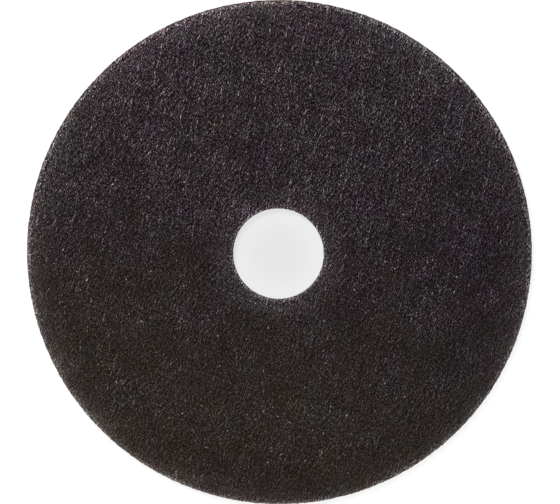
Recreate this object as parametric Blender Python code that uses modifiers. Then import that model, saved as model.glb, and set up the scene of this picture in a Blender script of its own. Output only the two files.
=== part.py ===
"""A flat cut-off wheel for an angle grinder, in metres with +Z up.

The wheel lies on its lower face, and its bore's axis is the Z axis.
"""

import math

import bpy

# Driving dimensions
WHEEL_DIAMETER = 0.125
BORE_DIAMETER = 0.02223
THICKNESS = 0.0016

# Both faces taper in a narrow band from a faint crease, and then round over into the rim
RIM_BAND_WIDTH = 0.0027
RIM_TAPER_ANGLE = math.radians(4.0)
RIM_ROUND_WIDTH = 0.0018
RIM_ROUND_DROP = 0.0003

# Both mouths of the bore are broken by a small round
BORE_ROUND_WIDTH = 0.0006
BORE_ROUND_DROP = 0.00015

# Facets
SEGMENTS_ROUND = 180
RIM_ROUND_STEPS = 5
BORE_ROUND_STEPS = 3

# Finish of the bonded abrasive
ABRASIVE_COLOUR = (0.028, 0.022, 0.023, 1.0)
ABRASIVE_ROUGHNESS = 0.75
ABRASIVE_METALLIC = 0.0

QUARTER_TURN = math.pi / 2
FULL_TURN = 2 * math.pi


def clear_scene():
    for item in list(bpy.data.objects):
        bpy.data.objects.remove(item, do_unlink=True)


def ellipse_arc(centre_x, centre_z, width, drop, start, end, steps):
    """Points of an ellipse of these half-widths, from the angle start to the angle end."""
    angles = [start + (end - start) * step / steps for step in range(steps + 1)]
    return [(centre_x + width * math.cos(angle), centre_z + drop * math.sin(angle)) for angle in angles]


def upper_rim():
    """Points from the upper face's crease, out along the taper and over the round to the rim."""
    slope = math.tan(RIM_TAPER_ANGLE)
    crease_x = WHEEL_DIAMETER / 2 - RIM_BAND_WIDTH
    centre_x = WHEEL_DIAMETER / 2 - RIM_ROUND_WIDTH
    # The round starts where it is as steep as the taper, so that the two run on smoothly
    start = math.atan2(RIM_ROUND_DROP, slope * RIM_ROUND_WIDTH)
    taper_run = centre_x + RIM_ROUND_WIDTH * math.cos(start) - crease_x
    centre_z = THICKNESS - slope * taper_run - RIM_ROUND_DROP * math.sin(start)
    round_over = ellipse_arc(
        centre_x, centre_z, RIM_ROUND_WIDTH, RIM_ROUND_DROP, start, 0.0, RIM_ROUND_STEPS
    )
    return [(crease_x, THICKNESS)] + round_over


def upper_bore():
    """Points from the bore's wall, up over its mouth to the upper face."""
    return ellipse_arc(
        BORE_DIAMETER / 2 + BORE_ROUND_WIDTH,
        THICKNESS - BORE_ROUND_DROP,
        BORE_ROUND_WIDTH,
        BORE_ROUND_DROP,
        2 * QUARTER_TURN,
        QUARTER_TURN,
        BORE_ROUND_STEPS,
    )


def wheel_section():
    """The closed section at +X: out over the upper face, down the rim, and back under the lower face."""
    upper = upper_bore() + upper_rim()
    lower = [(x, THICKNESS - z) for x, z in reversed(upper)]
    return upper + lower


def turned(name, section, collection):
    """An object that turns a closed section round the Z axis."""
    count = len(section)
    mesh = bpy.data.meshes.new(name)
    mesh.from_pydata(
        [(x, 0.0, z) for x, z in section],
        [(index, (index + 1) % count) for index in range(count)],
        [],
    )
    item = bpy.data.objects.new(name, mesh)
    collection.objects.link(item)
    # A full turn closes on its first ring, so nothing has to be merged
    screw = item.modifiers.new("Turn", "SCREW")
    screw.axis = "Z"
    screw.angle = FULL_TURN
    screw.steps = SEGMENTS_ROUND
    screw.render_steps = SEGMENTS_ROUND
    screw.use_smooth_shade = True
    # Keeps the flat faces evenly lit beside the rounds
    normals = item.modifiers.new("Face normals", "WEIGHTED_NORMAL")
    normals.keep_sharp = True
    return item


def bonded_abrasive():
    """Dark grain in black resin, dull all over."""
    material = bpy.data.materials.new("bonded_abrasive")
    material.use_nodes = True
    shader = material.node_tree.nodes["Principled BSDF"]
    shader.inputs["Base Color"].default_value = ABRASIVE_COLOUR
    shader.inputs["Roughness"].default_value = ABRASIVE_ROUGHNESS
    shader.inputs["Metallic"].default_value = ABRASIVE_METALLIC
    return material


def abrasive_disc(collection):
    disc = turned("abrasive_disc", wheel_section(), collection)
    disc.data.materials.append(bonded_abrasive())
    return disc


def main():
    clear_scene()
    collection = bpy.data.collections.new("cut_off_wheel")
    bpy.context.scene.collection.children.link(collection)
    abrasive_disc(collection)


main()
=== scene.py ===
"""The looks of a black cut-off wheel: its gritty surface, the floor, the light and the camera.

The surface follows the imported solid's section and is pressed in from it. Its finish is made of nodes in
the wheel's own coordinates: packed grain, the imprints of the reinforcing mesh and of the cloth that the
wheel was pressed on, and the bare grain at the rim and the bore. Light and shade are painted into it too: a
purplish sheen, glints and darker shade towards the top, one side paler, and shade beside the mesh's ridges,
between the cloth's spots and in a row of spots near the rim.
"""

import math

import bpy
import numpy as np
from mathutils import Matrix, Vector


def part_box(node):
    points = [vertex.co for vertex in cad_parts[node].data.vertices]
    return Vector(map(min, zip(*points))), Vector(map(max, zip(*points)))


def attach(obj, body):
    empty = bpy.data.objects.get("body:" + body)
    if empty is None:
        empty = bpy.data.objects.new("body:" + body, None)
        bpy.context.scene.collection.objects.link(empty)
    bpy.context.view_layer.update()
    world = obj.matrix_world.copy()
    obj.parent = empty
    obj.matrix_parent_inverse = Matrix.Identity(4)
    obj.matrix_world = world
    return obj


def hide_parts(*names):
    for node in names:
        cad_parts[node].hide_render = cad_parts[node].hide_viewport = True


MM = 0.001
FULL_TURN = 2 * math.pi

# The photograph's frame, and where the wheel lies in it, in pixels
IMAGE_SIZE_PX = (560, 504)
WHEEL_RADIUS_PX = 252.2
BORE_CENTRE_PX = (277.8, 253.36)

# The camera looks down from almost straight above, a little from the picture's upper right
CAMERA_DISTANCE = 0.57
CAMERA_TILT = math.radians(4.4)
CAMERA_SIDE = math.radians(58.0)
SENSOR_WIDTH_IN_MM = 36.0

# Spacing of the surface's points, and how far each may lie from its even place, in spacings
FACE_STEP = 0.56 * MM
EDGE_STEP = 0.28 * MM
UNDER_STEP = 0.85 * MM
POINT_JITTER = 0.24
JITTER_SEED = 7
# Digits that tell the solid's corners apart, in metres
CORNER_DIGITS = 6

# Relief of the surface, always cut in from the solid
WAVE_CELL = 11 * MM
WAVE_DEPTH = 0.03 * MM
GRIT_CELL = 0.8 * MM
GRIT_DEPTH = 0.04 * MM
# Near the rim and the bore the grain lies bare, so the relief is deeper there
EDGE_ZONE = 1.1 * MM
EDGE_GRIT_CELL = 0.55 * MM
COARSE_GRIT_SHARE = 0.7
FINE_GRIT_SHARE = 0.3
RIM_GRIT_DEPTH = 0.42 * MM
BORE_GRIT_DEPTH = 0.08 * MM
# How far the outline lies inside the solid's rim on the whole, as a share of the grit's depth there
OUTLINE_INSET = 0.72

# Multipliers that scramble a lattice corner's whole numbers into a random value
CORNER_FACTORS = (73856093, 19349663, 83492791)
SEED_FACTOR = 6542989
SCRAMBLE_FACTOR = 0x45D9F3B
LOW_32_BITS = 0xFFFFFFFF

# From here to the bump's height, lengths are in millimetres. A noise is (scale, detail, roughness), and its
# levels are the two values between which it takes effect

# Imprint of the reinforcing mesh: pairs of long yarns that twist round each cross yarn, so that each pair
# zigzags. An offset is the share of a pitch at which the first row lies
PAIR_DIRECTION = math.radians(-11.95)
PAIR_PITCH = 4.242
PAIR_OFFSET = 0.892
PAIR_SWAY = 0.057
PAIR_WIDTH = 0.12
# Troughs to one side of each pair: dips in the bump, and painted shade in the colour
SHADED_TROUGH_WIDTH = 0.7
SHADED_TROUGH_SHIFT = 0.4
SHADED_TROUGH_SHARE = 0.07
CROSS_DIRECTION = math.radians(74.56)
CROSS_PITCH = 4.312
CROSS_OFFSET = 0.131
CROSS_WIDTH = 0.24
CROSS_SHARE = 0.07
# As (swing, middle): the lobes along a pair, and how high they are from one cross yarn to the next
LOBES_TO_A_TWIST = 4.0
LOBES = (0.35, 0.65)
KNOTS = (0.16, 0.66)
TWIST_KNOTS = 0.18
# The yarns wander from their rows, and come through more strongly in some places than in others
MESH_WANDER = 0.5
WANDER_NOISE = (0.3, 1.0)
STRENGTH_NOISE = (0.6, 1.0)
STRENGTH_LEVELS = (0.36, 0.64)
MESH_STRENGTH = (0.25, 1.75)

# Imprint of the spot-bonded cloth that the wheel was pressed on: two crossing rows of raised spots, each as
# (direction, pitch, offset, swing)
SPOT_ROWS = (
    (math.radians(-43.54), 1.3167, 0.555, 0.24),
    (math.radians(69.05), 1.3200, 0.113, 0.19),
)

# Packed grain, each layer as (grains to the millimetre, direction, drawn out by, contrast)
GRAIN_LAYERS = (
    (4.7, math.radians(77), 1.9, 4.25),
    (5.2, math.radians(62), 1.4, 4.45),
)
# Each grain is set off by a dark gap
GRAIN_GAP = 0.28
GAP_SHARE = 0.63
# The power of e that the layers start from, and how steeply the tone then rises with it
GRAIN_START = -0.08
GRAIN_STEEPNESS = 2.0

# Thin bright strokes that the cloth's fibres left, laid out the same way, with the share that shows
STROKE_LAYERS = (
    (6.0, math.radians(77), 10.0, 1.6, 0.10),
    (6.0, math.radians(60), 7.0, 1.4, 0.08),
)
# The odd bright speck, as (to the millimetre, direction, drawn out by)
SPECK_LAYER = (3.6, math.radians(70), 1.3)
SPECK_CONTRAST = 3.6
SPECK_SHARE = 0.010

# Paler and darker patches, and where in the noise they lie
PATCH_PLACE = (292.0, -730.0, 38.4)
PATCH_NOISE = (0.12, 3.0, 0.55)
PATCH_CONTRAST = 1.4

# The face changes from its foot to its top, along a boundary that the patches shift. Towards the top, where
# the
# lamp is, this is painted raking light: painted glints and painted shade give the grain, the mesh and the
# row of dark spots more contrast, over a darker ground. Each pair of values is for the foot and for the top
PATCH_SHIFT = 60.0
UPPER_ZONE = (-28.0, 44.0)
UPPER_GAIN = -0.43
MESH_CONTRAST = (1.9, 3.2)
GRAIN_CONTRAST = (0.74, 1.20)
SHADE_SPOT_STRENGTH = (0.2, 1.0)
SHADE_SPOT_CONTRAST = 2.6
SPOT_CONTRAST = 0.85

# Rings in which the face grows paler, each as how far in from the rim it starts and is whole, and its gain
# as a power of e: the outer face, the pressed band and the bare rim
RIM_RINGS = (
    (10.0, 3.2, 0.80),
    (3.25, 2.95, 0.52),
    (2.0, 0.1, 1.34),
)
# The same, out from the bore: the collar and the bare mouth
BORE_RINGS = (
    (8.0, 1.5, 1.09),
    (1.3, 0.0, 1.30),
)
# One side of the outer face is paler than the other: painted light from the lamp's side. On the bare rim it
# is
# the other way round: painted light away from the lamp and painted shade towards it, against the lamp's own
# shading of the rim
PALE_SIDE = math.radians(109)
PALE_SIDE_ZONE = (14.0, 2.8)
PALE_SIDE_GAIN = 0.28
PALE_SIDE_TURN_ZONE = (1.0, 0.1)
PALE_SIDE_TURN = -2.0

# The grain's contrast eases towards the rim, on the pressed band and towards the bore
RIM_EASE_ZONE = (11.0, 3.2)
RIM_EASE = 0.64
BAND_EASE_ZONE = (3.25, 2.85)
BAND_EASE = -0.15
BORE_EASE_ZONE = (9.0, 1.5)
BORE_EASE = 0.67
# It is stronger in a chipped ring, where the face turns over into the rim
CHIPPED_INSET = 1.25
CHIPPED_WIDTH = 0.45
CHIPPED_GAIN = 0.12
# A row of dark spots lies in that ring: painted shade where the face turns over, stronger towards the top
SHADE_SPOT_INSET = 1.35
SHADE_SPOT_WIDTH = 0.2
SHADE_SPOT_NOISE = (0.9, 2.0, 0.6)
SHADE_SPOT_LEVELS = (0.54, 0.60)

# Colours: dark resin with paler grain in it
RESIN_WITH_PAINTED_SHEEN = (0.0057, 0.0014, 0.0028, 1.0)
BROWN_RESIN = (0.0101, 0.0054, 0.0040, 1.0)
GRAIN_TONE = (0.01375, 0.0123, 0.01245)
# Both are purplish towards the picture's top and brown towards its foot: the purple is a painted sheen from
# the lamp at the top
PAINTED_SHEEN_ZONE = (-48.0, 14.0)
PAINTED_SHEEN_SLANT = 0.2
PAINTED_SHEEN_TINT = (1.0, 1.0, 1.07, 1.0)
BROWN_TINT = (1.0, 1.0, 0.93, 1.0)
# Bare grain at the rim is a little warmer, and so is the left of the picture
BARE_TINT_ZONE = (1.5, 0.3)
BARE_TINT = (1.05, 1.0, 0.95, 1.0)
LEFT_TINT = (1.035, 1.0, 0.99, 1.0)
RIGHT_TINT = (0.975, 1.0, 1.01, 1.0)
# The hue also wanders from place to place
HUE_NOISE = (0.10, 3.0, 0.62)
HUE_SPREAD = 0.40

# Gloss and bump, whose noise is drawn out like the grain
LUMP_DIRECTION = math.radians(68)
LUMP_LENGTH = 1.6
GLOSS_NOISE = (2.8, 2.0, 0.6)
GLOSS_LEVELS = (0.45, 0.65)
ROUGHNESS = (0.9, 0.42)
SPECULAR_LEVEL = 0.04
LUMP_NOISE = (1.7, 0.0)
MESH_BUMP = 0.45
SPOT_BUMP = 0.25
BUMP_HEIGHT = 0.3 * MM

# Light. The sky dims between two heights on a sphere of radius 1
WHITE = (1, 1, 1, 1)
HORIZON_LIGHT = 0.85
ZENITH_LIGHT = 0.22
DIMMING_ZONE = (0.15, 0.8)
KEY_PLACE = (-0.28, 0.42, 0.52)
KEY_SIZE = 0.3
KEY_POWER = 5.0

# Floor. What shows in the bore is paler towards the bore's edge, between two shares of the hidden radius
FLOOR_SIZE = 12.0
FLOOR_TONE = 0.15
FLOOR_ROUGHNESS = 0.9
FLOOR_LIFT = 0.87
FLOOR_LIFT_IN_BORE = 0.65
FLOOR_LIFT_BY_EDGE = 0.71
FLOOR_ZONE_IN_BORE = (0.1, 0.33)


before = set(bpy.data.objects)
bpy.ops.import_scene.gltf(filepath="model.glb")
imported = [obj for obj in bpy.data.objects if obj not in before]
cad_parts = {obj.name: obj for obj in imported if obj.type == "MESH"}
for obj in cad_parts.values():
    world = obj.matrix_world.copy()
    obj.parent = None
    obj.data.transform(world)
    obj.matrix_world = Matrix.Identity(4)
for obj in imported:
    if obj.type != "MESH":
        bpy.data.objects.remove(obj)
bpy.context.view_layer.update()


def corner_value(corner, seed):
    """A repeatable random value from 0 to 1 for each whole-number corner."""
    mixed = np.bitwise_xor.reduce(corner * CORNER_FACTORS, axis=1) ^ seed * SEED_FACTOR
    mixed &= LOW_32_BITS
    for _ in range(2):
        mixed = (mixed ^ mixed >> 16) * SCRAMBLE_FACTOR & LOW_32_BITS
    return (mixed ^ mixed >> 16) / LOW_32_BITS


def lattice_noise(points, cell, seed):
    """Smooth noise from 0 to 1, with a random value at each corner of a cubic lattice."""
    scaled = points / cell
    corner = np.floor(scaled).astype(np.int64)
    part = scaled - corner
    part = part * part * (3 - 2 * part)
    total = np.zeros(len(points))
    for offset in np.ndindex(2, 2, 2):
        share = np.prod(np.where(offset, part, 1 - part), axis=1)
        total += share * corner_value(corner + offset, seed)
    return total


def section_corners(name):
    """The solid's section as (radius, height): out over its upper face, then back under its lower one."""
    low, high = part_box(name)
    middle = (low.z + high.z) / 2
    corners = {
        (round(math.hypot(v.co.x, v.co.y), CORNER_DIGITS), round(v.co.z, CORNER_DIGITS))
        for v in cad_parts[name].data.vertices
    }
    upper = sorted(corner for corner in corners if corner[1] > middle)
    lower = sorted((corner for corner in corners if corner[1] < middle), reverse=True)
    return upper, lower


def section_stations(upper, lower):
    """(radius, height, step, flat) of each ring of points, in order round the section."""
    corners = upper + lower
    found = []
    for index, (r0, z0) in enumerate(corners):
        r1, z1 = corners[(index + 1) % len(corners)]
        flat = z0 == z1
        step = EDGE_STEP if not flat else FACE_STEP if index < len(upper) else UNDER_STEP
        count = max(1, round(math.hypot(r1 - r0, z1 - z0) / step))
        for part in range(count):
            share = part / count
            found.append((r0 + (r1 - r0) * share, z0 + (z1 - z0) * share, step, flat and part > 0))
    return found


def ring_normals(stations):
    """The direction out of the solid at each ring, as (radial, upward)."""
    places = np.array([(radius, height) for radius, height, _, _ in stations])
    along = np.roll(places, -1, axis=0) - np.roll(places, 1, axis=0)
    out = np.column_stack([-along[:, 1], along[:, 0]])
    return out / np.linalg.norm(out, axis=1)[:, None]


def stitched(first, first_count, second, second_count):
    """Triangles between two rings that have different numbers of points."""
    triangles = []
    i = j = 0
    while i < first_count or j < second_count:
        a = first + i % first_count
        b = second + j % second_count
        if j == second_count or (i < first_count and (i + 0.5) * second_count <= (j + 0.5) * first_count):
            i += 1
            triangles.append((a, b, first + i % first_count))
        else:
            j += 1
            triangles.append((a, b, second + j % second_count))
    return triangles


def relief(points, rim_radius, bore_radius):
    """How far each point lies below the solid's own surface."""
    radius = np.hypot(points[:, 0], points[:, 1])
    depth = WAVE_DEPTH * lattice_noise(points, WAVE_CELL, seed=1)
    depth += GRIT_DEPTH * lattice_noise(points, GRIT_CELL, seed=2)
    coarse = lattice_noise(points, EDGE_GRIT_CELL, seed=3)
    fine = lattice_noise(points, EDGE_GRIT_CELL / 2, seed=4)
    grit = COARSE_GRIT_SHARE * coarse + FINE_GRIT_SHARE * fine
    near_rim = np.clip(1 - (rim_radius - radius) / EDGE_ZONE, 0, 1)
    near_bore = np.clip(1 - (radius - bore_radius) / EDGE_ZONE, 0, 1)
    return depth + grit * (RIM_GRIT_DEPTH * near_rim**2 + BORE_GRIT_DEPTH * near_bore**2)


def wheel_mesh(upper, lower):
    """The wheel's rough surface, as rings of points that follow the solid's section."""
    random = np.random.default_rng(JITTER_SEED)
    stations = section_stations(upper, lower)
    normals = ring_normals(stations)
    points, outward, firsts, counts = [], [], [], []
    total = 0
    for index, (radius, height, step, flat) in enumerate(stations):
        count = round(FULL_TURN * radius / step)
        shift = random.uniform(-POINT_JITTER, POINT_JITTER, (2, count))
        # Every other ring is turned by half a spacing. Only points on a flat face may leave their ring
        angles = FULL_TURN * (np.arange(count) + index % 2 / 2 + shift[0]) / count
        radii = radius + (step * shift[1] if flat else 0 * shift[1])
        cosines, sines = np.cos(angles), np.sin(angles)
        points.append(np.column_stack([radii * cosines, radii * sines, np.full(count, height)]))
        radial, upward = normals[index]
        outward.append(np.column_stack([radial * cosines, radial * sines, np.full(count, upward)]))
        firsts.append(total)
        counts.append(count)
        total += count
    points = np.concatenate(points)
    outward = np.concatenate(outward)
    points -= outward * relief(points, upper[-1][0], upper[0][0])[:, None]
    triangles = []
    for index in range(len(stations)):
        after = (index + 1) % len(stations)
        triangles += stitched(firsts[index], counts[index], firsts[after], counts[after])
    mesh = bpy.data.meshes.new("wheel_surface")
    mesh.from_pydata(points.tolist(), [], triangles)
    mesh.shade_smooth()
    return mesh


class Nodes:
    """Short calls that add and link the nodes of one material."""

    def __init__(self, tree):
        self.tree = tree
        tree.nodes.clear()

    def feed(self, socket, value):
        if isinstance(value, bpy.types.NodeSocket):
            self.tree.links.new(value, socket)
        else:
            socket.default_value = value

    def add(self, kind, inputs=None, **settings):
        node = self.tree.nodes.new(kind)
        for name, value in settings.items():
            setattr(node, name, value)
        for name, value in (inputs or {}).items():
            self.feed(node.inputs[name], value)
        return node

    def math(self, operation, *values):
        node = self.add("ShaderNodeMath", operation=operation)
        for socket, value in zip(node.inputs, values):
            self.feed(socket, value)
        return node.outputs[0]

    def vector_math(self, operation, *vectors):
        node = self.add("ShaderNodeVectorMath", operation=operation)
        for socket, value in zip(node.inputs, vectors):
            self.feed(socket, value)
        return node.outputs["Vector"]

    def scaled(self, vector, factor):
        inputs = {"Vector": vector, "Scale": factor}
        return self.add("ShaderNodeVectorMath", inputs, operation="SCALE").outputs["Vector"]

    def spread(self, value, low, high, to_low=0.0, to_high=1.0):
        """The value from low to high, eased onto another range."""
        inputs = {"Value": value, "From Min": low, "From Max": high, "To Min": to_low, "To Max": to_high}
        return self.add("ShaderNodeMapRange", inputs, interpolation_type="SMOOTHSTEP").outputs["Result"]

    def between(self, share, low, high):
        """The value at a share of the way from low to high."""
        return self.math("MULTIPLY_ADD", share, high - low, low)

    def blend(self, factor, first, second):
        """A colour between two others."""
        node = self.add("ShaderNodeMix", data_type="RGBA")
        self.feed(node.inputs["Factor"], factor)
        for name, value in (("A", first), ("B", second)):
            socket = next(s for s in node.inputs if s.name == name and s.type == "RGBA")
            self.feed(socket, value)
        return next(s for s in node.outputs if s.type == "RGBA")

    def noise(self, vector, per_mm, detail, roughness=0.5):
        """The outputs of a noise, which are Fac for one random value and Color for three."""
        inputs = {"Vector": vector, "Scale": per_mm, "Detail": detail, "Roughness": roughness}
        return self.add("ShaderNodeTexNoise", inputs).outputs

    def wave(self, turns, swing=1.0, middle=0.0):
        """The cosine of a number of turns, times a swing, about a middle value."""
        cosine = self.math("COSINE", self.math("MULTIPLY", turns, FULL_TURN))
        return self.math("MULTIPLY_ADD", cosine, swing, middle)

    def drawn_out(self, vector, direction, length):
        """Coordinates in which a texture is drawn out along a direction in the wheel's plane."""
        inputs = {"Vector": vector, "Rotation": (0.0, 0.0, direction), "Scale": (length, 1.0, 1.0)}
        return self.add("ShaderNodeMapping", inputs, vector_type="TEXTURE").outputs["Vector"]

    def grains(self, vector, per_mm, direction, length):
        """A random value from 0 to 1 for each grain of a packed layer."""
        inputs = {"Vector": self.drawn_out(vector, direction, length), "Scale": per_mm}
        cells = self.add("ShaderNodeTexVoronoi", inputs)
        return self.add("ShaderNodeSeparateColor", {"Color": cells.outputs["Color"]}).outputs["Red"]

    def set_off_grains(self, vector, per_mm, direction, length):
        """The same less a share of the grains a gap away on all sides, so that each grain stands out."""
        total = self.grains(vector, per_mm, direction, length)
        for side in ((GRAIN_GAP, 0, 0), (-GRAIN_GAP, 0, 0), (0, GRAIN_GAP, 0), (0, -GRAIN_GAP, 0)):
            beside = self.grains(self.vector_math("ADD", vector, side), per_mm, direction, length)
            total = self.math("MULTIPLY_ADD", beside, -GAP_SHARE / 4, total)
        return self.math("SUBTRACT", total, (1 - GAP_SHARE) / 2)

    def ridge(self, offset, width):
        """1 on the middle of a rounded ridge, falling to 0 beside it."""
        share = self.math("DIVIDE", offset, width)
        return self.math("EXPONENT", self.math("MULTIPLY", self.math("MULTIPLY", share, share), -1.0))


class WheelPlace:
    """Where a point lies on the wheel, in millimetres."""

    def __init__(self, make, rim_radius, bore_radius):
        self.make = make
        self.rim, self.bore = rim_radius / MM, bore_radius / MM
        self.point = make.scaled(make.add("ShaderNodeTexCoord").outputs["Object"], 1 / MM)
        parts = make.add("ShaderNodeSeparateXYZ", {"Vector": self.point}).outputs
        self.x, self.y = parts["X"], parts["Y"]
        squares = make.math("MULTIPLY_ADD", self.x, self.x, make.math("MULTIPLY", self.y, self.y))
        self.radius = make.math("SQRT", squares)

    def in_from_rim(self, start, end, to_low=0.0, to_high=1.0):
        """Eases from one value to the other between two distances in from the rim."""
        return self.make.spread(self.radius, self.rim - start, self.rim - end, to_low, to_high)

    def out_from_bore(self, start, end, to_low=0.0, to_high=1.0):
        """Eases from one value to the other between two distances out from the bore."""
        return self.make.spread(self.radius, self.bore + start, self.bore + end, to_low, to_high)

    def ring(self, inset, width):
        """1 on a narrow ring that lies inset from the rim, falling to 0 beside it."""
        return self.make.ridge(self.make.math("SUBTRACT", self.radius, self.rim - inset), width)


def rows(make, x, y, direction, pitch, offset):
    """How many rows of a regular imprint, in direction, lie between the bore's axis and each point."""
    along = make.math("MULTIPLY", x, math.cos(direction) / pitch)
    both = make.math("MULTIPLY_ADD", y, math.sin(direction) / pitch, along)
    return make.math("SUBTRACT", both, offset)


def from_row(make, count):
    """The distance from the nearest row, in pitches."""
    shifted = make.math("FRACT", make.math("ADD", count, 0.5))
    return make.math("SUBTRACT", shifted, 0.5)


def mesh_imprint(make, at):
    """1 on the highest ridges that the reinforcing mesh raises, and below 0 in the troughs beside them:
    dips in the bump and painted shade in the colour.
    """
    wander = make.noise(at.point, *WANDER_NOISE)["Color"]
    span, middle = (MESH_WANDER, MESH_WANDER, 0.0), (-MESH_WANDER / 2, -MESH_WANDER / 2, 0.0)
    moved = make.vector_math("ADD", at.point, make.vector_math("MULTIPLY_ADD", wander, span, middle))
    parts = make.add("ShaderNodeSeparateXYZ", {"Vector": moved}).outputs
    x, y = parts["X"], parts["Y"]
    crossing = rows(make, x, y, CROSS_DIRECTION, CROSS_PITCH, CROSS_OFFSET)
    # A pair makes a full twist in every two cross yarns
    twist = make.math("MULTIPLY", crossing, 0.5)
    pair = rows(make, x, y, PAIR_DIRECTION, PAIR_PITCH, PAIR_OFFSET)
    pair = make.math("ADD", pair, make.wave(twist, PAIR_SWAY))
    pair_ridge = make.ridge(from_row(make, pair), PAIR_WIDTH / PAIR_PITCH)
    beside = from_row(make, make.math("SUBTRACT", pair, SHADED_TROUGH_SHIFT / PAIR_PITCH))
    shaded_trough = make.ridge(beside, SHADED_TROUGH_WIDTH / PAIR_PITCH)
    # It shows as a chain of lobes, the ones at the cross yarns the highest
    lobes = make.wave(make.math("MULTIPLY", twist, LOBES_TO_A_TWIST), *LOBES)
    knots = make.math("ADD", make.wave(crossing, *KNOTS), make.wave(twist, TWIST_KNOTS))
    cross_ridge = make.ridge(from_row(make, crossing), CROSS_WIDTH / CROSS_PITCH)
    pair_part = make.math("MULTIPLY", pair_ridge, make.math("MULTIPLY", lobes, knots))
    both = make.math("MAXIMUM", pair_part, make.math("MULTIPLY", cross_ridge, CROSS_SHARE))
    strength = make.noise(at.point, *STRENGTH_NOISE)["Fac"]
    both = make.math("MULTIPLY", both, make.spread(strength, *STRENGTH_LEVELS, *MESH_STRENGTH))
    return make.math("MULTIPLY_ADD", shaded_trough, -SHADED_TROUGH_SHARE, both)


def spot_imprint(make, at):
    """Up to about a half on the spots that the bonded cloth left, and as far below 0 between them."""
    first, second = (make.wave(rows(make, at.x, at.y, *row), swing) for *row, swing in SPOT_ROWS)
    return make.math("ADD", first, second)


def paler_edges(make, at):
    """How much paler the face is near the rim and the bore, and as painted light to one side, as a power of
    e that multiplies its tone.
    """
    toward = make.math("MULTIPLY", at.x, math.cos(PALE_SIDE) / at.rim)
    toward = make.math("MULTIPLY_ADD", at.y, math.sin(PALE_SIDE) / at.rim, toward)
    lean = make.math("MULTIPLY", toward, at.in_from_rim(*PALE_SIDE_ZONE, 0.0, PALE_SIDE_GAIN))
    total = make.math("MULTIPLY", lean, at.in_from_rim(*PALE_SIDE_TURN_ZONE, 1.0, PALE_SIDE_TURN))
    for *zone, gain in RIM_RINGS:
        total = make.math("ADD", total, at.in_from_rim(*zone, 0.0, gain))
    for *zone, gain in BORE_RINGS:
        total = make.math("ADD", total, at.out_from_bore(*zone, 0.0, gain))
    return total


def eased_contrast(make, at):
    """The share of the grain's contrast that is left near the rim and the bore."""
    by_rim = at.in_from_rim(*RIM_EASE_ZONE, 1.0, RIM_EASE)
    by_rim = make.math("ADD", by_rim, at.in_from_rim(*BAND_EASE_ZONE, 0.0, BAND_EASE))
    by_rim = make.math("MULTIPLY_ADD", at.ring(CHIPPED_INSET, CHIPPED_WIDTH), CHIPPED_GAIN, by_rim)
    return make.math("MINIMUM", by_rim, at.out_from_bore(*BORE_EASE_ZONE, 1.0, BORE_EASE))


def grain_power(make, at, mesh, spots, upper):
    """The power of e behind each grain's tone, so that few grains are bright and most are dark."""
    power = GRAIN_START
    for *layer, contrast in GRAIN_LAYERS:
        power = make.math("MULTIPLY_ADD", make.set_off_grains(at.point, *layer), contrast, power)
    for *layer, contrast, share in STROKE_LAYERS:
        stroke = make.spread(make.grains(at.point, *layer), 1 - share, 1.0)
        power = make.math("MULTIPLY_ADD", stroke, contrast, power)
    # The mesh's ridges are paler where rubbed; its troughs and its extra contrast towards the top are
    # painted shade and light
    power = make.math("MULTIPLY_ADD", mesh, make.between(upper, *MESH_CONTRAST), power)
    # The cloth's spots are paler, with painted shade in the hollows between them
    power = make.math("MULTIPLY_ADD", spots, SPOT_CONTRAST, power)
    # Painted glints and shade: the grain has more contrast towards the top
    power = make.math("MULTIPLY", power, make.between(upper, *GRAIN_CONTRAST))

    # The specks ease twice over, because they would be too bright on the paler rings
    ease = eased_contrast(make, at)
    speck = make.spread(make.grains(at.point, *SPECK_LAYER), 1 - SPECK_SHARE, 1.0)
    power = make.math("MULTIPLY_ADD", make.math("MULTIPLY", speck, ease), SPECK_CONTRAST, power)
    power = make.math("MULTIPLY", power, ease)

    # Painted shade: a row of dark spots near the rim, stronger towards the top
    shade_spots = make.spread(make.noise(at.point, *SHADE_SPOT_NOISE)["Fac"], *SHADE_SPOT_LEVELS)
    shade_spots = make.math("MULTIPLY", at.ring(SHADE_SPOT_INSET, SHADE_SPOT_WIDTH), shade_spots)
    shade_spots = make.math("MULTIPLY", shade_spots, make.between(upper, *SHADE_SPOT_STRENGTH))
    return make.math("MULTIPLY_ADD", shade_spots, -SHADE_SPOT_CONTRAST, power)


def grain_tone(make, at, power, patch, upper):
    """How pale the grain is: its own tone, times a slow change over the face."""
    # Well below 0 the power's tone fades out, and above 0 it rises more gently than e to that power
    lit = make.math("LOGARITHM", make.math("ADD", make.math("EXPONENT", power), 1.0), math.e)
    lit = make.math("POWER", lit, GRAIN_STEEPNESS)
    patch = make.math("SUBTRACT", patch, 0.5)
    slow = make.math("MULTIPLY_ADD", patch, PATCH_CONTRAST, paler_edges(make, at))
    # Painted shade: a darker ground towards the top, under the painted glints
    slow = make.math("MULTIPLY_ADD", upper, UPPER_GAIN, slow)
    return make.math("MULTIPLY", lit, make.math("EXPONENT", slow))


def tinted(make, at, colour, painted_sheen):
    """The colour with its slow changes of hue, the painted purplish sheen towards the top among them."""
    lean = make.blend(painted_sheen, BROWN_TINT, PAINTED_SHEEN_TINT)
    lean = make.blend(at.in_from_rim(*BARE_TINT_ZONE), lean, BARE_TINT)
    side = make.blend(make.spread(at.x, -at.rim, at.rim), LEFT_TINT, RIGHT_TINT)
    hue = make.noise(at.point, *HUE_NOISE)["Color"]
    wander = make.vector_math("MULTIPLY_ADD", hue, (HUE_SPREAD,) * 3, (1 - HUE_SPREAD / 2,) * 3)
    for factor in (lean, side, wander):
        colour = make.vector_math("MULTIPLY", colour, factor)
    return colour


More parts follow.
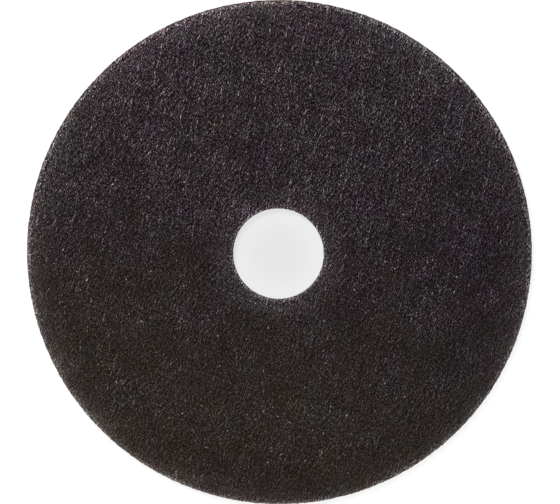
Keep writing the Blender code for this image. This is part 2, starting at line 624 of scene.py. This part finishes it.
def bonded_abrasive(rim_radius, bore_radius):
    """Near-black resin packed with fine grain, paler where the rim and the bore lay the grain bare."""
    material = bpy.data.materials.new("bonded_abrasive")
    material.use_nodes = True
    make = Nodes(material.node_tree)
    at = WheelPlace(make, rim_radius, bore_radius)
    mesh = mesh_imprint(make, at)
    spots = spot_imprint(make, at)
    patch = make.noise(make.vector_math("ADD", at.point, PATCH_PLACE), *PATCH_NOISE)["Fac"]
    drift = make.math("MULTIPLY_ADD", make.math("SUBTRACT", patch, 0.5), PATCH_SHIFT, at.y)
    # Towards the top, where the lamp is: the zone of painted raking light, glints and sheen
    upper = make.spread(drift, *UPPER_ZONE)
    # Painted sheen: purplish towards the top, where the lamp is
    painted_sheen = make.spread(make.math("MULTIPLY_ADD", at.x, PAINTED_SHEEN_SLANT, drift), *PAINTED_SHEEN_ZONE)

    power = grain_power(make, at, mesh, spots, upper)
    grain = make.scaled(GRAIN_TONE, grain_tone(make, at, power, patch, upper))
    # The resin turns purplish under the painted sheen
    resin = make.blend(painted_sheen, BROWN_RESIN, RESIN_WITH_PAINTED_SHEEN)
    colour = tinted(make, at, make.vector_math("ADD", resin, grain), painted_sheen)

    along_grain = make.drawn_out(at.point, LUMP_DIRECTION, LUMP_LENGTH)
    gloss = make.noise(along_grain, *GLOSS_NOISE)["Fac"]
    lumps = make.noise(along_grain, *LUMP_NOISE)["Fac"]
    height = make.math("MULTIPLY_ADD", mesh, MESH_BUMP, lumps)
    height = make.math("MULTIPLY_ADD", spots, SPOT_BUMP, height)
    bump = make.add("ShaderNodeBump", {"Height": height, "Strength": 1.0, "Distance": BUMP_HEIGHT})
    inputs = {
        "Base Color": colour,
        "Roughness": make.spread(gloss, *GLOSS_LEVELS, *ROUGHNESS),
        "Specular IOR Level": SPECULAR_LEVEL,
        "Normal": bump.outputs["Normal"],
    }
    shader = make.add("ShaderNodeBsdfPrincipled", inputs)
    make.add("ShaderNodeOutputMaterial", {"Surface": shader.outputs[0]})
    return material


def background_ray(make):
    """1 for rays that show the background as it is: seen directly, in gloss or through glass."""
    path = make.add("ShaderNodeLightPath").outputs
    seen = make.math("MAXIMUM", path["Is Camera Ray"], path["Is Glossy Ray"])
    return make.math("MAXIMUM", seen, path["Is Transmission Ray"])


def white_floor(hidden_radius):
    """White outside the wheel, and a little greyer in the bore. The wheel hides where the two meet."""
    material = bpy.data.materials.new("floor")
    material.use_nodes = True
    make = Nodes(material.node_tree)
    place = make.add("ShaderNodeTexCoord").outputs["Object"]
    radius = make.add("ShaderNodeVectorMath", {"Vector": place}, operation="LENGTH").outputs["Value"]
    outside = make.math("GREATER_THAN", radius, hidden_radius)
    zone = [share * hidden_radius for share in FLOOR_ZONE_IN_BORE]
    in_bore = make.spread(radius, *zone, FLOOR_LIFT_IN_BORE, FLOOR_LIFT_BY_EDGE)
    lift = make.math("MAXIMUM", in_bore, make.math("MULTIPLY", outside, FLOOR_LIFT))
    inputs = {
        "Base Color": (FLOOR_TONE, FLOOR_TONE, FLOOR_TONE, 1),
        "Roughness": FLOOR_ROUGHNESS,
        "Specular IOR Level": 0.0,
        "Emission Color": WHITE,
        "Emission Strength": make.math("MULTIPLY", background_ray(make), lift),
    }
    shader = make.add("ShaderNodeBsdfPrincipled", inputs)
    make.add("ShaderNodeOutputMaterial", {"Surface": shader.outputs[0]})
    return material


def add_floor(hidden_radius):
    half = FLOOR_SIZE / 2
    corners = [(-half, -half, 0), (half, -half, 0), (half, half, 0), (-half, half, 0)]
    mesh = bpy.data.meshes.new("floor")
    mesh.from_pydata(corners, [], [(0, 1, 2, 3)])
    mesh.materials.append(white_floor(hidden_radius))
    floor = bpy.data.objects.new("floor", mesh)
    bpy.context.scene.collection.objects.link(floor)


def add_world():
    """A plain studio: white round the horizon and dimmer overhead."""
    world = bpy.data.worlds.new("studio")
    bpy.context.scene.world = world
    world.use_nodes = True
    make = Nodes(world.node_tree)
    direction = make.add("ShaderNodeTexCoord").outputs["Generated"]
    upward = make.add("ShaderNodeSeparateXYZ", {"Vector": direction}).outputs["Z"]
    light = make.spread(upward, *DIMMING_ZONE, HORIZON_LIGHT, ZENITH_LIGHT)
    surface = make.add("ShaderNodeBackground", {"Color": WHITE, "Strength": light})
    make.add("ShaderNodeOutputWorld", {"Surface": surface.outputs[0]})


def add_key_light():
    """One large soft lamp beyond the top of the picture."""
    data = bpy.data.lights.new("key", "AREA")
    data.shape = "SQUARE"
    data.size = KEY_SIZE
    data.energy = KEY_POWER
    lamp = bpy.data.objects.new("key", data)
    bpy.context.scene.collection.objects.link(lamp)
    lamp.location = KEY_PLACE
    lamp.rotation_euler = Vector(KEY_PLACE).to_track_quat("Z", "Y").to_euler()


def add_camera(outline_radius, face_height):
    """Looks down at the wheel, with its bore and outline where the photograph has them."""
    px_per_metre = WHEEL_RADIUS_PX / outline_radius
    centre_px = [(size - 1) / 2 for size in IMAGE_SIZE_PX]
    aim = Vector(
        (
            (centre_px[0] - BORE_CENTRE_PX[0]) / px_per_metre,
            (BORE_CENTRE_PX[1] - centre_px[1]) / px_per_metre,
            face_height,
        )
    )
    back = Vector(
        (
            math.sin(CAMERA_TILT) * math.cos(CAMERA_SIDE),
            math.sin(CAMERA_TILT) * math.sin(CAMERA_SIDE),
            math.cos(CAMERA_TILT),
        )
    )
    right = Vector((0, 1, 0)).cross(back).normalized()
    up = back.cross(right)
    data = bpy.data.cameras.new("camera")
    data.sensor_width = SENSOR_WIDTH_IN_MM
    data.lens = px_per_metre * CAMERA_DISTANCE * SENSOR_WIDTH_IN_MM / IMAGE_SIZE_PX[0]
    camera = bpy.data.objects.new("camera", data)
    bpy.context.scene.collection.objects.link(camera)
    turn = Matrix((right, up, back)).transposed().to_4x4()
    camera.matrix_world = Matrix.Translation(aim + back * CAMERA_DISTANCE) @ turn
    bpy.context.scene.camera = camera


def main():
    upper, lower = section_corners("abrasive_disc")
    rim_radius, bore_radius = upper[-1][0], upper[0][0]
    wheel = bpy.data.objects.new("bonded_wheel", wheel_mesh(upper, lower))
    bpy.context.scene.collection.objects.link(wheel)
    wheel.data.materials.append(bonded_abrasive(rim_radius, bore_radius))
    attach(wheel, "root")
    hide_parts("abrasive_disc")
    add_floor((rim_radius + bore_radius) / 2)
    add_world()
    add_key_light()
    add_camera(rim_radius - OUTLINE_INSET * RIM_GRIT_DEPTH, upper[-1][1])
    bpy.context.scene.view_settings.view_transform = "Standard"


main()
